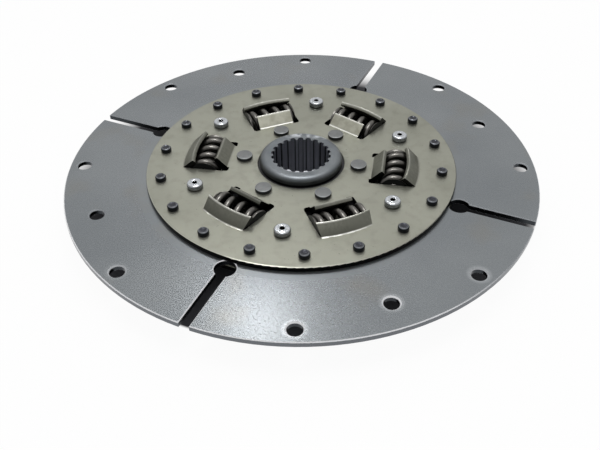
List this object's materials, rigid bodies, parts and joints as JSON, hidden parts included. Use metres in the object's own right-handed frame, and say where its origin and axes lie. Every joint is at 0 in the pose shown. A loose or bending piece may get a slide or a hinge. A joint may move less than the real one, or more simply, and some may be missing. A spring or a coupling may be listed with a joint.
{
  "type": "clutch disc",
  "caption": "Round steel clutch disc with a bolt-on outer plate, riveted covers over coil springs in bent window lips, and a splined hub that twists against the springs.",
  "frame": {"origin": "on the hub axis at the mid thickness of the outer plate, the centre of its bolt circles", "axes": "+Z along the hub axis towards the side the picture shows, +X along one of the four radial slots of the outer plate"},
  "size_m": [0.4666, 0.4666, 0.0504],
  "materials": {
    "plate_steel": "ground bluish grey steel with fine scratches, light stains and nicks at the rim",
    "plated_cover": "yellowish grey satin plating with tiny dark specks",
    "hub_steel": "machined grey steel with a dark spline",
    "bush_plastic": "dull black",
    "black_rivet": "blackened steel, satin",
    "rivet_steel": "dull grey steel",
    "bright_pin": "bright turned steel",
    "spring_steel": "dark oiled spring steel"
  },
  "bodies": {
    "disc": {"outer_plate": "plate_steel", "upper_cover": "plated_cover", "lower_cover": "plated_cover", "upper_guide_bush": "bush_plastic", "lower_guide_bush": "bush_plastic", "rim_rivets": "black_rivet", "inner_rivets": "rivet_steel", "stop_pin_1": "bright_pin", "stop_pin_2": "bright_pin", "stop_pin_3": "bright_pin", "stop_pin_4": "bright_pin", "stop_pin_5": "bright_pin", "stop_pin_6": "bright_pin"},
    "springs": {"spring_1": "spring_steel", "spring_2": "spring_steel", "spring_3": "spring_steel", "spring_4": "spring_steel", "spring_5": "spring_steel", "spring_6": "spring_steel"},
    "hub": {"hub": "hub_steel"}
  },
  "joints": [
    {"name": "hub_twist", "type": "hinge", "parent": "disc", "child": "hub", "pos_m": [0, 0, 0], "axis": [0, 0, 1], "range_deg": [-6, 6], "stiffness_Nm_per_rad": 100, "deforming": ["spring_1", "spring_2", "spring_3", "spring_4", "spring_5", "spring_6"]},
    {"name": "spring_follow", "type": "hinge", "parent": "disc", "child": "springs", "pos_m": [0, 0, 0], "axis": [0, 0, 1], "range_deg": [-3, 3], "deforming": ["spring_1", "spring_2", "spring_3", "spring_4", "spring_5", "spring_6"]}
  ],
  "couplings": [
    {"joint": "spring_follow", "follows": "hub_twist", "ratio": 0.5}
  ]
}
